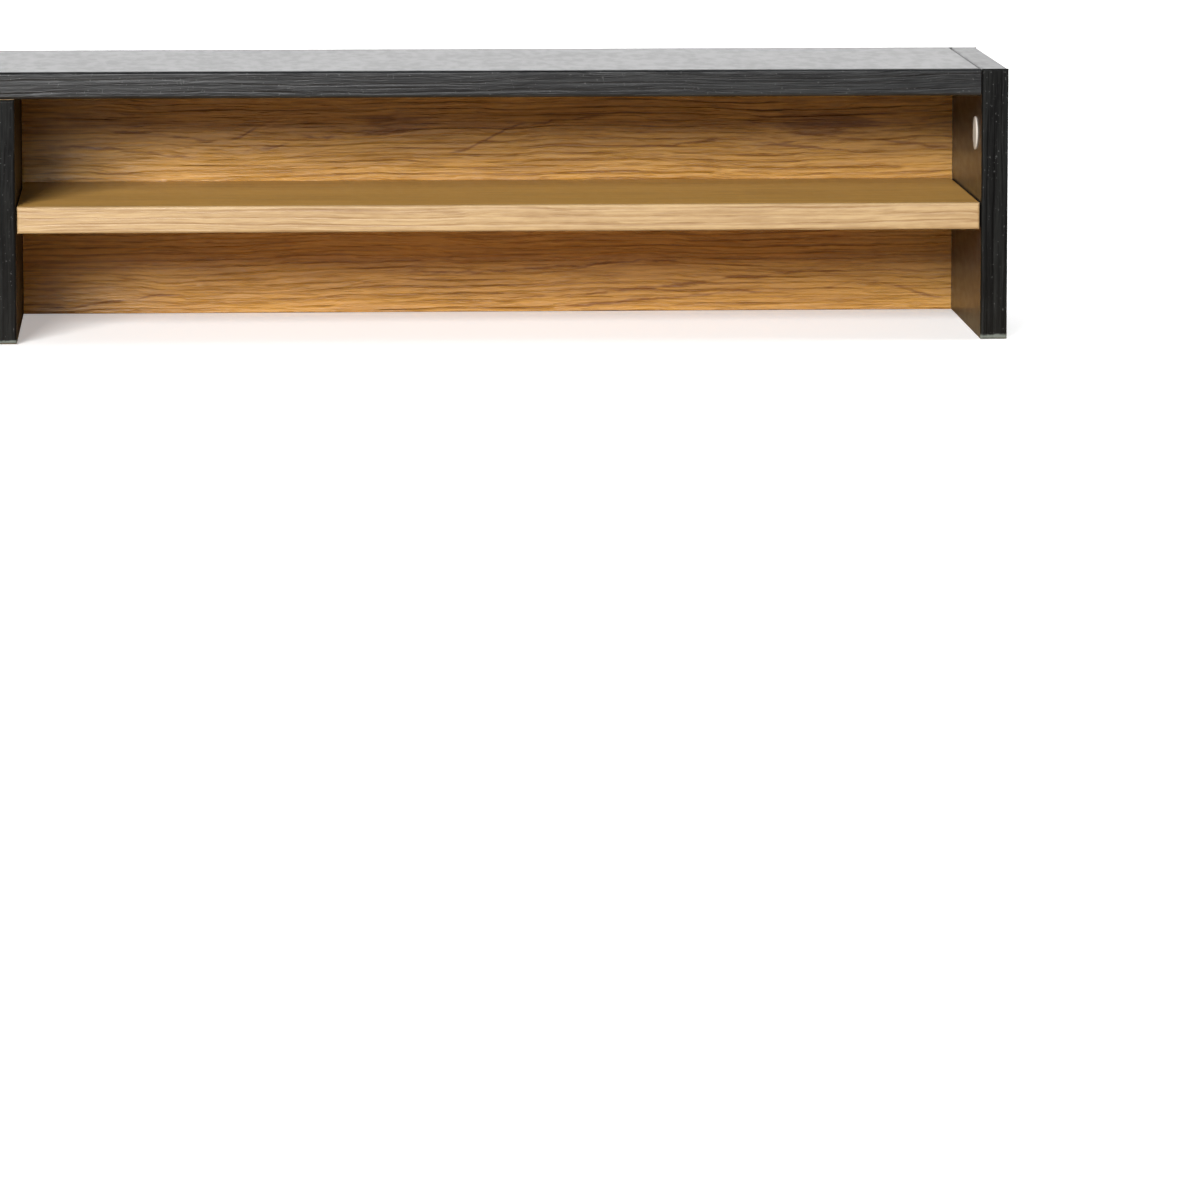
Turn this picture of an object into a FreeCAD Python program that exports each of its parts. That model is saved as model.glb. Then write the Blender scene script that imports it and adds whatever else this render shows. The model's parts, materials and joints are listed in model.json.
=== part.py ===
import FreeCAD, Part
import math
import os
import re
from collections import namedtuple
import Sketcher
from FreeCAD import Placement, Rotation, Vector

# Desk hutch: two open bays with a shelf each, between end panels and under a top board.
# Origin at the middle of the footprint, +X to the right, +Y to the rear, +Z up, millimetres.

DIMENSIONS = {
    "width": 1200.0,             # over the outer faces of the end panels
    "depth": 192.0,              # front face to rear face
    "height": 162.0,
    "board": 16.0,               # thickness of every board
    "shelf_top": 82.0,           # height of the shelves' upper face
    "band": 2.0,                 # thickness of an edge band
    "band_round": 1.5,           # radius along a band's outer edges
    "fitting_inset": 37.0,       # rows of fittings, from a board's edge
    "cam_setback": 34.0,         # cam centre, from the joint
    "cam_bore": 15.0,
    "cam_bore_depth": 12.5,
    "cam_channel": 7.4,          # square channel that takes the bolt's head
    "cam_channel_reach": 4.0,    # channel's end, past the cam's centre
    "cam_slot_width": 1.6,
    "cam_slot_depth": 1.5,
    "bolt_bore": 8.0,            # bore along a board for the bolt's shank
    "bolt_thread": 5.0,
    "bolt_thread_length": 11.0,
    "bolt_shank": 6.0,
    "bolt_neck": 4.0,
    "bolt_neck_length": 4.0,
    "bolt_head": 6.6,
    "bolt_head_length": 4.0,
    "dowel": 8.0,
    "dowel_length": 30.0,
    "dowel_short_end": 10.0,     # the part in a board's face
    "dowel_long_end": 20.0,      # the part in a board's edge
    "dowel_chamfer": 1.0,
    "screw_length": 50.0,
    "screw_head": 10.0,
    "screw_head_length": 3.5,
    "screw_shank": 7.0,
    "screw_core": 5.0,
    "screw_tip": 3.0,
    "screw_socket": 4.6,         # across the corners of the hexagon socket
    "insert": 10.0,
    "insert_bore": 5.0,          # core diameter of an M6 thread
    "insert_length": 13.0,
    "insert_inset": 36.0,        # desk fixing, from the front and rear faces
    "link_bore": 8.0,            # bore for a screw into a neighbouring unit
    "link_height": 121.0,
    "link_inset": 34.0,
    "cap": 20.0,
    "cap_thickness": 1.0,
    "cap_chamfer": 0.4,
    "fit_gap": 0.05,             # radial gap round a fitting in its bore
}

Board = namedtuple("Board", "body base size")

doc = FreeCAD.newDocument("desk_hutch")
nodes = []


# ---------------------------------------------------------------- document helpers

def make_sheet():
    sheet = doc.addObject("Spreadsheet::Sheet", "Dimensions")
    for row, (alias, value) in enumerate(DIMENSIONS.items(), start=1):
        sheet.set(f"A{row}", alias)
        sheet.set(f"B{row}", str(value))
        sheet.setAlias(f"B{row}", alias)
    doc.recompute()


def bind(item, path, expression):
    """Bind a property to an expression in the sheet's aliases."""
    item.setExpression(path, re.sub(r"[a-z_]+", lambda word: "Dimensions." + word[0], expression))


def place(item, base, rotation=Rotation()):
    item.Placement = Placement(Vector(), rotation)
    for axis, expression in zip("xyz", base):
        bind(item, f"Placement.Base.{axis}", expression)


def new_body(label):
    body = doc.addObject("PartDesign::Body", label)
    body.Label = label
    return body


def new_sketch(body, name, role):
    """A sketch on one of the body's own origin planes."""
    plane = next(item for item in body.Origin.OriginFeatures if item.Role == role)
    sketch = body.newObject("Sketcher::SketchObject", name)
    sketch.AttachmentSupport = [(plane, "")]
    sketch.MapMode = "FlatFace"
    return sketch


def pin_point(sketch, geometry, vertex, across, up):
    """Hold a point at bound distances from the sketch's origin."""
    if across == "0":
        sketch.addConstraint(Sketcher.Constraint("PointOnObject", geometry, vertex, -2))
    else:
        index = sketch.addConstraint(Sketcher.Constraint("DistanceX", -1, 1, geometry, vertex, 1.0))
        bind(sketch, f"Constraints[{index}]", across)
    if up == "0":
        sketch.addConstraint(Sketcher.Constraint("PointOnObject", geometry, vertex, -1))
    else:
        index = sketch.addConstraint(Sketcher.Constraint("DistanceY", -1, 1, geometry, vertex, 1.0))
        bind(sketch, f"Constraints[{index}]", up)


def add_polygon(sketch, corners):
    """A closed outline through corners given as pairs of expressions."""
    count = len(corners)
    for index in range(count):
        start = Vector(10 * math.cos(2 * math.pi * index / count),
                       10 * math.sin(2 * math.pi * index / count), 0)
        end = Vector(10 * math.cos(2 * math.pi * (index + 1) / count),
                     10 * math.sin(2 * math.pi * (index + 1) / count), 0)
        sketch.addGeometry(Part.LineSegment(start, end), False)
    for index in range(count):
        sketch.addConstraint(Sketcher.Constraint("Coincident", index, 2, (index + 1) % count, 1))
    for index, (across, up) in enumerate(corners):
        pin_point(sketch, index, 1, across, up)


# ---------------------------------------------------------------- boards

def make_blank(label, base, size):
    """A plain board: a rectangle padded to its height."""
    body = new_body(label)
    sketch = new_sketch(body, label + "_outline", "XY_Plane")
    length, breadth, height = size
    add_polygon(sketch, [("0", "0"), (length, "0"), (length, breadth), ("0", breadth)])
    pad = body.newObject("PartDesign::Pad", label + "_blank")
    pad.Profile = sketch
    bind(pad, "Length", height)
    place(body, base)
    doc.recompute()
    nodes.append(body)
    return Board(body, base, size)


# Face: origin plane, axes of its sketch, sign of the plane's normal, whether the face is the far one
FACES = {
    "left": ("YZ_Plane", (1, 2), 0, 1, False),
    "right": ("YZ_Plane", (1, 2), 0, 1, True),
    "front": ("XZ_Plane", (0, 2), 1, -1, False),
    "rear": ("XZ_Plane", (0, 2), 1, -1, True),
    "bottom": ("XY_Plane", (0, 1), 2, 1, False),
    "top": ("XY_Plane", (0, 1), 2, 1, True),
}


def drill(board, name, face, seats, diameter, depth):
    """Drill equal blind or through bores into one face of a board, at seats in the hutch's frame."""
    role, sketch_axes, normal_axis, normal_sign, is_far = FACES[face]
    body = board.body
    sketch = new_sketch(body, name + "_centres", role)
    if is_far:
        sign = "-" if normal_sign < 0 else ""
        bind(sketch, "AttachmentOffset.Base.z", f"{sign}({board.size[normal_axis]})")
    for index, seat in enumerate(seats):
        sketch.addGeometry(Part.Circle(Vector(20 * index, 20, 0), Vector(0, 0, 1), 2), False)
        radius = sketch.addConstraint(Sketcher.Constraint("Radius", index, 2))
        bind(sketch, f"Constraints[{radius}]", f"({diameter}) / 2")
        local = [f"({seat[axis]}) - ({board.base[axis]})" for axis in sketch_axes]
        pin_point(sketch, index, 3, *local)
    before = body.Shape.Volume
    pocket = body.newObject("PartDesign::Pocket", name)
    pocket.Profile = sketch
    pocket.Reversed = is_far == (normal_sign < 0)
    bind(pocket, "Length", depth)
    doc.recompute()
    bored = len(seats) * math.pi * sketch.Geometry[0].Radius ** 2 * pocket.Length.Value
    removed = before - body.Shape.Volume
    if removed < 0.5 * bored or removed > 1.01 * bored:
        raise RuntimeError(f"{name}: removed {removed:.0f} of {bored:.0f} cubic millimetres")


def make_band(label, base, size, outer_axis, is_far, round_ends):
    """An edge band with its outer long edges rounded, and its outer ends too where they stand free."""
    blank = make_blank(label, base, size)
    box = blank.body.Shape.BoundBox
    low, high = (box.XMin, box.YMin, box.ZMin), (box.XMax, box.YMax, box.ZMax)
    level = high[outer_axis] if is_far else low[outer_axis]
    longest = max(edge.Length for edge in blank.body.Shape.Edges)
    names = []
    for number, edge in enumerate(blank.body.Shape.Edges, start=1):
        on_outer_face = all(abs(vertex.Point[outer_axis] - level) < 1e-6 for vertex in edge.Vertexes)
        if on_outer_face and (round_ends or edge.Length > 0.9 * longest):
            names.append(f"Edge{number}")
    fillet = blank.body.newObject("PartDesign::Fillet", label + "_rounding")
    fillet.Base = (blank.body.getObject(label + "_blank"), names)
    bind(fillet, "Radius", "band_round")
    doc.recompute()
    return blank


# ---------------------------------------------------------------- fittings

def make_turned(name, profile):
    """A master solid turned about its Z axis from (radius, height) expressions."""
    body = new_body(name)
    sketch = new_sketch(body, name + "_profile", "XZ_Plane")
    add_polygon(sketch, profile)
    turn = body.newObject("PartDesign::Revolution", name + "_turn")
    turn.Profile = sketch
    turn.ReferenceAxis = (sketch, ["V_Axis"])
    turn.Angle = 360
    doc.recompute()
    return body


def make_cam():
    """Cam: its open face at z = 0, and a channel for the bolt's head towards +X."""
    name = "cam_master"
    drum = doc.addObject("Part::Cylinder", name + "_drum")
    bind(drum, "Radius", "cam_bore / 2 - fit_gap")
    bind(drum, "Height", "cam_bore_depth - fit_gap")
    place(drum, ("0", "0", "-(cam_bore_depth - fit_gap)"))
    channel = doc.addObject("Part::Box", name + "_channel")
    bind(channel, "Length", "cam_bore / 2 + cam_channel_reach")
    bind(channel, "Width", "cam_channel")
    bind(channel, "Height", "cam_channel")
    place(channel, ("-cam_channel_reach", "-cam_channel / 2", "-(board + cam_channel) / 2"))
    tools = [channel]
    for axis, slot_name in enumerate(("_slot", "_cross_slot")):
        slot = doc.addObject("Part::Box", name + slot_name)
        long_side, short_side = ("Length", "Width") if axis == 0 else ("Width", "Length")
        bind(slot, long_side, "cam_bore / 2")
        bind(slot, short_side, "cam_slot_width")
        bind(slot, "Height", "cam_slot_depth")
        corner = ["-cam_bore / 4", "-cam_slot_width / 2"]
        place(slot, (corner[axis], corner[1 - axis], "-cam_slot_depth"))
        tools.append(slot)
    cutter = doc.addObject("Part::MultiFuse", name + "_cutter")
    cutter.Shapes = tools
    cam = doc.addObject("Part::Cut", name)
    cam.Base = drum
    cam.Tool = cutter
    doc.recompute()
    return cam


def make_cam_bolt():
    """Single bolt: thread's tip at z = 0, head at the far end."""
    shoulder = "bolt_thread_length"
    head_end = "bolt_thread_length + cam_setback + bolt_head_length / 2"
    head_start = "bolt_thread_length + cam_setback - bolt_head_length / 2"
    neck_start = head_start + " - bolt_neck_length"
    return make_turned("cam_bolt_master", [
        ("0", "0"), ("bolt_thread / 2 - fit_gap", "0"), ("bolt_thread / 2 - fit_gap", shoulder),
        ("bolt_shank / 2", shoulder), ("bolt_shank / 2", neck_start), ("bolt_neck / 2", neck_start),
        ("bolt_neck / 2", head_start), ("bolt_head / 2", head_start), ("bolt_head / 2", head_end),
        ("0", head_end)])


def make_through_bolt():
    """Double-ended bolt: a head for a cam at each end, its length from z = 0."""
    total = "2 * cam_setback + board + bolt_head_length"
    low_head, low_neck = "bolt_head_length", "bolt_head_length + bolt_neck_length"
    high_head, high_neck = f"{total} - ({low_head})", f"{total} - ({low_neck})"
    return make_turned("through_bolt_master", [
        ("0", "0"), ("bolt_head / 2", "0"), ("bolt_head / 2", low_head), ("bolt_neck / 2", low_head),
        ("bolt_neck / 2", low_neck), ("bolt_shank / 2", low_neck), ("bolt_shank / 2", high_neck),
        ("bolt_neck / 2", high_neck), ("bolt_neck / 2", high_head), ("bolt_head / 2", high_head),
        ("bolt_head / 2", total), ("0", total)])


def make_dowel(name, length):
    radius = "dowel / 2 - fit_gap"
    tip = radius + " - dowel_chamfer"
    return make_turned(name, [
        ("0", "0"), (tip, "0"), (radius, "dowel_chamfer"), (radius, f"{length} - dowel_chamfer"),
        (tip, length), ("0", length)])


def make_screw():
    """One-piece connector screw: tip at z = 0, countersunk head with a hexagon socket."""
    core, shank, head = (f"screw_{part} / 2 - fit_gap" for part in ("core", "shank", "head"))
    shank_start = "screw_length - board"
    head_start = "screw_length - screw_head_length"
    turned = make_turned("screw_blank", [
        ("0", "0"), (core, "screw_tip"), (core, shank_start), (shank, shank_start),
        (shank, head_start), (head, head_start), (head, "screw_length"), ("0", "screw_length")])
    socket = doc.addObject("Part::Prism", "screw_socket_tool")
    socket.Polygon = 6
    bind(socket, "Circumradius", "screw_socket / 2")
    bind(socket, "Height", "screw_head_length")
    place(socket, ("0", "0", head_start))
    screw = doc.addObject("Part::Cut", "screw_master")
    screw.Base = turned
    screw.Tool = socket
    doc.recompute()
    return screw


def make_insert():
    """Threaded insert as a plain sleeve: its mouth at z = 0."""
    outer = "insert / 2 - fit_gap"
    return make_turned("insert_master", [
        ("insert_bore / 2", "0"), (outer, "0"), (outer, "insert_length"),
        ("insert_bore / 2", "insert_length")])


def make_cap():
    """Cover cap: a thin disc with a chamfered rim, its back at z = 0."""
    return make_turned("cap_master", [
        ("0", "0"), ("cap / 2", "0"), ("cap / 2", "cap_thickness - cap_chamfer"),
        ("cap / 2 - cap_chamfer", "cap_thickness"), ("0", "cap_thickness")])


def turn_to(axis):
    return Rotation(Vector(0, 0, 1), Vector(axis))


def turn_cam(mouth, bolt_side):
    """Rotation that faces a cam's open side to mouth and its channel to bolt_side."""
    open_way, channel_way = Vector(mouth), Vector(bolt_side)
    return Rotation(channel_way, open_way.cross(channel_way), open_way, "ZXY")


def place_group(label, master, seats):
    """One node of separate solids: a copy of the master at each (base, rotation)."""
    links = []
    for index, (base, rotation) in enumerate(seats, start=1):
        link = doc.addObject("App::Link", f"{label}_{index}")
        link.LinkedObject = master
        place(link, base, rotation)
        links.append(link)
    group = doc.addObject("Part::Compound", label)
    group.Label = label
    group.Links = links
    doc.recompute()
    nodes.append(group)


# ---------------------------------------------------------------- the hutch

SIDES = {"left": ("-", -1), "right": ("", 1)}
INNER_FACE = {"left": "right", "right": "left"}   # the face of an end panel that looks into the bay

FRONT = "-depth / 2"
REAR = "depth / 2"
PANEL_FACE = "(width / 2 - board)"                # inner faces of the end panels, from the middle
PANEL_MIDDLE = "(width / 2 - board / 2)"
UNDER_TOP = "(height - board)"
TOP_MIDDLE = "(height - board / 2)"
SHELF_UNDER = "(shelf_top - board)"
SHELF_MIDDLE = "(shelf_top - board / 2)"
BACK_FACE = "(depth / 2 - board)"                 # the back panel's front face
BACK_MIDDLE = "(depth / 2 - board / 2)"

FRONT_ROW = "(-depth / 2 + fitting_inset)"
REAR_ROW = "(depth / 2 - fitting_inset)"
BAY_REAR_ROW = "(depth / 2 - board - fitting_inset)"
BAY_MIDDLE_ROW = "(-board / 2)"                   # half-way from front face to back panel
CAM_OUTER = "(width / 2 - board - cam_setback)"
CAM_INNER = "(board / 2 + cam_setback)"
CAM_UNDER_TOP = "(height - board - cam_setback)"

BACK_CAM_COLUMNS = [f"{sign}width * {share}" for sign in ("-", "") for share in ("5 / 12", "1 / 7")]
BACK_DOWEL_COLUMNS = ["-width * 2 / 7", "width * 2 / 7"]
BACK_SIDE_CAM_ROW = "height / 4"
BACK_SIDE_DOWEL_ROW = "height * 5 / 8"
DIVIDER_SCREW_ROWS = ["height * 3 / 16", "height * 19 / 32"]
SHELF_SCREW_SHARES = ["1 / 4", "1 / 2", "3 / 4"]   # along a shelf, from the divider
INSERT_ROWS = ["(-depth / 2 + insert_inset)", "(depth / 2 - insert_inset)"]


def joint_rows(rows, x, z):
    return [(x, row, z) for row in rows]


def make_boards():
    inner_depth = "depth - 2 * band"
    bay_depth = "depth - board - band"
    bay_width = "width / 2 - 3 * board / 2"
    behind_band = "-depth / 2 + band"
    boards = {}
    for side, (sign, way) in SIDES.items():
        outer_x = "-width / 2" if way < 0 else "width / 2 - board"
        boards["end_" + side] = make_blank(
            f"end_panel_{side}", (outer_x, behind_band, "0"), ("board", inner_depth, "height - band"))
        shelf_x = "-width / 2 + board" if way < 0 else "board / 2"
        boards["shelf_" + side] = make_blank(
            f"shelf_{side}", (shelf_x, behind_band, SHELF_UNDER), (bay_width, bay_depth, "board"))
    boards["top"] = make_blank(
        "top_board", (f"-{PANEL_FACE}", behind_band, UNDER_TOP),
        ("width - 2 * board", inner_depth, "board"))
    boards["divider"] = make_blank(
        "centre_divider", ("-board / 2", behind_band, "0"), ("board", bay_depth, UNDER_TOP))
    boards["back"] = make_blank(
        "back_panel", (f"-{PANEL_FACE}", BACK_FACE, "0"), ("width - 2 * board", "board", UNDER_TOP))
    return boards


def make_bands():
    bay_width = "width / 2 - 3 * board / 2"
    for side, (sign, way) in SIDES.items():
        outer_x = "-width / 2" if way < 0 else "width / 2 - board"
        panel = f"end_panel_{side}"
        make_band(panel + "_front_band", (outer_x, FRONT, "0"), ("board", "band", "height"), 1, False, True)
        make_band(panel + "_rear_band", (outer_x, "depth / 2 - band", "0"), ("board", "band", "height"),
                  1, True, True)
        make_band(panel + "_top_band", (outer_x, "-depth / 2 + band", "height - band"),
                  ("board", "depth - 2 * band", "band"), 2, True, False)
        shelf_x = "-width / 2 + board" if way < 0 else "board / 2"
        make_band(f"shelf_{side}_front_band", (shelf_x, FRONT, SHELF_UNDER),
                  (bay_width, "band", "board"), 1, False, False)
    across = (f"-{PANEL_FACE}", "width - 2 * board")
    make_band("top_board_front_band", (across[0], FRONT, UNDER_TOP), (across[1], "band", "board"),
              1, False, False)
    make_band("top_board_rear_band", (across[0], "depth / 2 - band", UNDER_TOP),
              (across[1], "band", "board"), 1, True, False)
    make_band("divider_front_band", ("-board / 2", FRONT, "0"), ("board", "band", UNDER_TOP),
              1, False, True)


def drill_end_panels(boards):
    """Bores in the end panels' inner faces, and the insert bores in their lower edges."""
    for side, (sign, way) in SIDES.items():
        panel, face, name = boards["end_" + side], INNER_FACE[side], f"end_{side}_"
        bolts = joint_rows((FRONT_ROW, REAR_ROW), "0", TOP_MIDDLE)
        bolts += joint_rows((FRONT_ROW, BAY_REAR_ROW), "0", SHELF_MIDDLE)
        bolts += [("0", BACK_MIDDLE, BACK_SIDE_CAM_ROW)]
        drill(panel, name + "bolt_bores", face, bolts, "bolt_thread", "bolt_thread_length")
        dowels = [("0", "0", TOP_MIDDLE), ("0", BAY_MIDDLE_ROW, SHELF_MIDDLE),
                  ("0", BACK_MIDDLE, BACK_SIDE_DOWEL_ROW)]
        drill(panel, name + "dowel_bores", face, dowels, "dowel", "dowel_short_end + fit_gap")
        drill(panel, name + "link_bore", face, [("0", FRONT + " + link_inset", "link_height")],
              "link_bore", "board")
        inserts = [(sign + PANEL_MIDDLE, row, "0") for row in INSERT_ROWS]
        drill(panel, name + "insert_bores", "bottom", inserts, "insert", "insert_length + fit_gap")


def drill_top_board(boards):
    board = boards["top"]
    cams = [(sign + CAM_OUTER, row, "0") for sign, way in SIDES.values() for row in (FRONT_ROW, REAR_ROW)]
    drill(board, "top_cam_bores", "bottom", cams, "cam_bore", "cam_bore_depth")
    for side in SIDES:
        bolts = joint_rows((FRONT_ROW, REAR_ROW), "0", TOP_MIDDLE)
        drill(board, f"top_{side}_shank_bores", side, bolts, "bolt_bore", "cam_setback")
        drill(board, f"top_{side}_dowel_bores", side, [("0", "0", TOP_MIDDLE)], "dowel",
              "dowel_long_end + fit_gap")
    bolts = joint_rows((FRONT_ROW, BAY_REAR_ROW), "0", "0")
    bolts += [(column, BACK_MIDDLE, "0") for column in BACK_CAM_COLUMNS]
    drill(board, "top_bolt_bores", "bottom", bolts, "bolt_thread", "bolt_thread_length")
    dowels = [("0", BAY_MIDDLE_ROW, "0")] + [(column, BACK_MIDDLE, "0") for column in BACK_DOWEL_COLUMNS]
    drill(board, "top_dowel_bores", "bottom", dowels, "dowel", "dowel_short_end + fit_gap")


def drill_shelves(boards):
    for side, (sign, way) in SIDES.items():
        shelf, name = boards["shelf_" + side], f"shelf_{side}_"
        cams = [(sign + x, row, "0") for x in (CAM_INNER, CAM_OUTER) for row in (FRONT_ROW, BAY_REAR_ROW)]
        drill(shelf, name + "cam_bores", "bottom", cams, "cam_bore", "cam_bore_depth")
        for end in ("left", "right"):
            bolts = joint_rows((FRONT_ROW, BAY_REAR_ROW), "0", SHELF_MIDDLE)
            drill(shelf, f"{name}{end}_shank_bores", end, bolts, "bolt_bore", "cam_setback")
            drill(shelf, f"{name}{end}_dowel_bores", end, [("0", BAY_MIDDLE_ROW, SHELF_MIDDLE)], "dowel",
                  "dowel_long_end + fit_gap")
        screws = [(sign + column, "0", SHELF_MIDDLE) for column in shelf_screw_columns()]
        drill(shelf, name + "screw_bores", "rear", screws, "screw_core", "screw_length - board")


def shelf_screw_columns():
    return [f"(board / 2 + (width / 2 - 3 * board / 2) * {share})" for share in SHELF_SCREW_SHARES]


def drill_divider(boards):
    board = boards["divider"]
    rows = (FRONT_ROW, BAY_REAR_ROW)
    drill(board, "divider_cam_bores", "left", joint_rows(rows, "0", CAM_UNDER_TOP), "cam_bore",
          "cam_bore_depth")
    drill(board, "divider_shank_bores", "top", joint_rows(rows, "0", "0"), "bolt_bore", "cam_setback")
    drill(board, "divider_dowel_bore", "top", [("0", BAY_MIDDLE_ROW, "0")], "dowel",
          "dowel_long_end + fit_gap")
    drill(board, "divider_through_bores", "left", joint_rows(rows, "0", SHELF_MIDDLE), "bolt_bore", "board")
    drill(board, "divider_through_dowel_bore", "left", [("0", BAY_MIDDLE_ROW, SHELF_MIDDLE)], "dowel",
          "board")
    drill(board, "divider_screw_bores", "rear", [("0", "0", row) for row in DIVIDER_SCREW_ROWS],
          "screw_core", "screw_length - board")


def screw_seats():
    """Middle of each connector screw in the back panel, as (x, z)."""
    seats = [("0", row) for row in DIVIDER_SCREW_ROWS]
    seats += [(sign + column, SHELF_MIDDLE) for sign, way in SIDES.values()
              for column in shelf_screw_columns()]
    return seats


def drill_back_panel(boards):
    board = boards["back"]
    cams = [(column, "0", CAM_UNDER_TOP) for column in BACK_CAM_COLUMNS]
    cams += [(sign + CAM_OUTER, "0", BACK_SIDE_CAM_ROW) for sign, way in SIDES.values()]
    drill(board, "back_cam_bores", "rear", cams, "cam_bore", "cam_bore_depth")
    drill(board, "back_shank_bores", "top", [(column, BACK_MIDDLE, "0") for column in BACK_CAM_COLUMNS],
          "bolt_bore", "cam_setback")
    drill(board, "back_dowel_bores", "top", [(column, BACK_MIDDLE, "0") for column in BACK_DOWEL_COLUMNS],
          "dowel", "dowel_long_end + fit_gap")
    for end in ("left", "right"):
        drill(board, f"back_{end}_shank_bore", end, [("0", BACK_MIDDLE, BACK_SIDE_CAM_ROW)],
              "bolt_bore", "cam_setback")
        drill(board, f"back_{end}_dowel_bore", end, [("0", BACK_MIDDLE, BACK_SIDE_DOWEL_ROW)],
              "dowel", "dowel_long_end + fit_gap")
    screws = [(x, "0", z) for x, z in screw_seats()]
    drill(board, "back_screw_bores", "rear", screws, "screw_shank", "board")
    drill(board, "back_screw_head_bores", "rear", screws, "screw_head", "screw_head_length")


def fit_cams():
    cam = make_cam()
    down, left, rear = (0, 0, -1), (-1, 0, 0), (0, 1, 0)
    seats = {"top_board": [], "shelf_left": [], "shelf_right": []}
    for side, (sign, way) in SIDES.items():
        outward, inward = turn_cam(down, (way, 0, 0)), turn_cam(down, (-way, 0, 0))
        for row in (FRONT_ROW, REAR_ROW):
            seats["top_board"].append(((sign + CAM_OUTER, row, UNDER_TOP), outward))
        for row in (FRONT_ROW, BAY_REAR_ROW):
            seats["shelf_" + side].append(((sign + CAM_OUTER, row, SHELF_UNDER), outward))
            seats["shelf_" + side].append(((sign + CAM_INNER, row, SHELF_UNDER), inward))
    seats["divider"] = [(("-board / 2", row, CAM_UNDER_TOP), turn_cam(left, (0, 0, 1)))
                        for row in (FRONT_ROW, BAY_REAR_ROW)]
    for board, places in seats.items():
        place_group(board + "_cams", cam, places)
    back = [((column, REAR, CAM_UNDER_TOP), turn_cam(rear, (0, 0, 1))) for column in BACK_CAM_COLUMNS]
    back += [((sign + CAM_OUTER, REAR, BACK_SIDE_CAM_ROW), turn_cam(rear, (way, 0, 0)))
             for sign, way in SIDES.values()]
    place_group("back_panel_cams", cam, back)
    return seats


def fit_caps(cam_seats):
    """Caps over the cams that show inside the bays, and over the two link bores."""
    cap = make_cap()
    ways = {"top_board": (0, 0, -1), "shelf_left": (0, 0, -1), "shelf_right": (0, 0, -1),
            "divider": (-1, 0, 0)}
    for board, places in cam_seats.items():
        place_group(board + "_cam_caps", cap, [(base, turn_to(ways[board])) for base, turn in places])
    for side, (sign, way) in SIDES.items():
        base = (sign + PANEL_FACE, FRONT + " + link_inset", "link_height")
        place_group(f"link_bore_cap_{side}", cap, [(base, turn_to((-way, 0, 0)))])


def fit_bolts():
    bolt, through = make_cam_bolt(), make_through_bolt()
    tip_x = "(width / 2 - board + bolt_thread_length)"
    tip_z = "(height - board + bolt_thread_length)"
    inward = {way: turn_to((-way, 0, 0)) for way in (-1, 1)}
    down = turn_to((0, 0, -1))
    groups = {"top_board_cam_bolts": [], "shelf_cam_bolts": [], "back_panel_cam_bolts": []}
    for sign, way in SIDES.values():
        for row in (FRONT_ROW, REAR_ROW):
            groups["top_board_cam_bolts"].append(((sign + tip_x, row, TOP_MIDDLE), inward[way]))
        for row in (FRONT_ROW, BAY_REAR_ROW):
            groups["shelf_cam_bolts"].append(((sign + tip_x, row, SHELF_MIDDLE), inward[way]))
        groups["back_panel_cam_bolts"].append(
            ((sign + tip_x, BACK_MIDDLE, BACK_SIDE_CAM_ROW), inward[way]))
    groups["back_panel_cam_bolts"] += [((column, BACK_MIDDLE, tip_z), down) for column in BACK_CAM_COLUMNS]
    groups["divider_cam_bolts"] = [(("0", row, tip_z), down) for row in (FRONT_ROW, BAY_REAR_ROW)]
    for label, seats in groups.items():
        place_group(label, bolt, seats)
    start = "-(board / 2 + cam_setback + bolt_head_length / 2)"
    place_group("divider_through_bolts", through,
                [((start, row, SHELF_MIDDLE), turn_to((1, 0, 0))) for row in (FRONT_ROW, BAY_REAR_ROW)])


def fit_dowels():
    dowel = make_dowel("dowel_master", "dowel_length")
    long_dowel = make_dowel("through_dowel_master", "(2 * dowel_long_end + board)")
    end_x = "(width / 2 - board + dowel_short_end)"
    end_z = "(height - board + dowel_short_end)"
    down = turn_to((0, 0, -1))
    groups = {"top_board_dowels": [], "shelf_dowels": [], "back_panel_dowels": []}
    for sign, way in SIDES.values():
        inward = turn_to((-way, 0, 0))
        groups["top_board_dowels"].append(((sign + end_x, "0", TOP_MIDDLE), inward))
        groups["shelf_dowels"].append(((sign + end_x, BAY_MIDDLE_ROW, SHELF_MIDDLE), inward))
        groups["back_panel_dowels"].append(((sign + end_x, BACK_MIDDLE, BACK_SIDE_DOWEL_ROW), inward))
    groups["back_panel_dowels"] += [((column, BACK_MIDDLE, end_z), down) for column in BACK_DOWEL_COLUMNS]
    groups["divider_dowel"] = [(("0", BAY_MIDDLE_ROW, end_z), down)]
    for label, seats in groups.items():
        place_group(label, dowel, seats)
    start = "-(board / 2 + dowel_long_end)"
    place_group("divider_through_dowel", long_dowel,
                [((start, BAY_MIDDLE_ROW, SHELF_MIDDLE), turn_to((1, 0, 0)))])


def fit_screws_and_inserts():
    screw, insert = make_screw(), make_insert()
    place_group("back_panel_screws", screw,
                [((x, REAR + " - screw_length", z), turn_to((0, 1, 0))) for x, z in screw_seats()])
    place_group("desk_fixing_inserts", insert,
                [((sign + PANEL_MIDDLE, row, "0"), Rotation()) for sign, way in SIDES.values()
                 for row in INSERT_ROWS])


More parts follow.
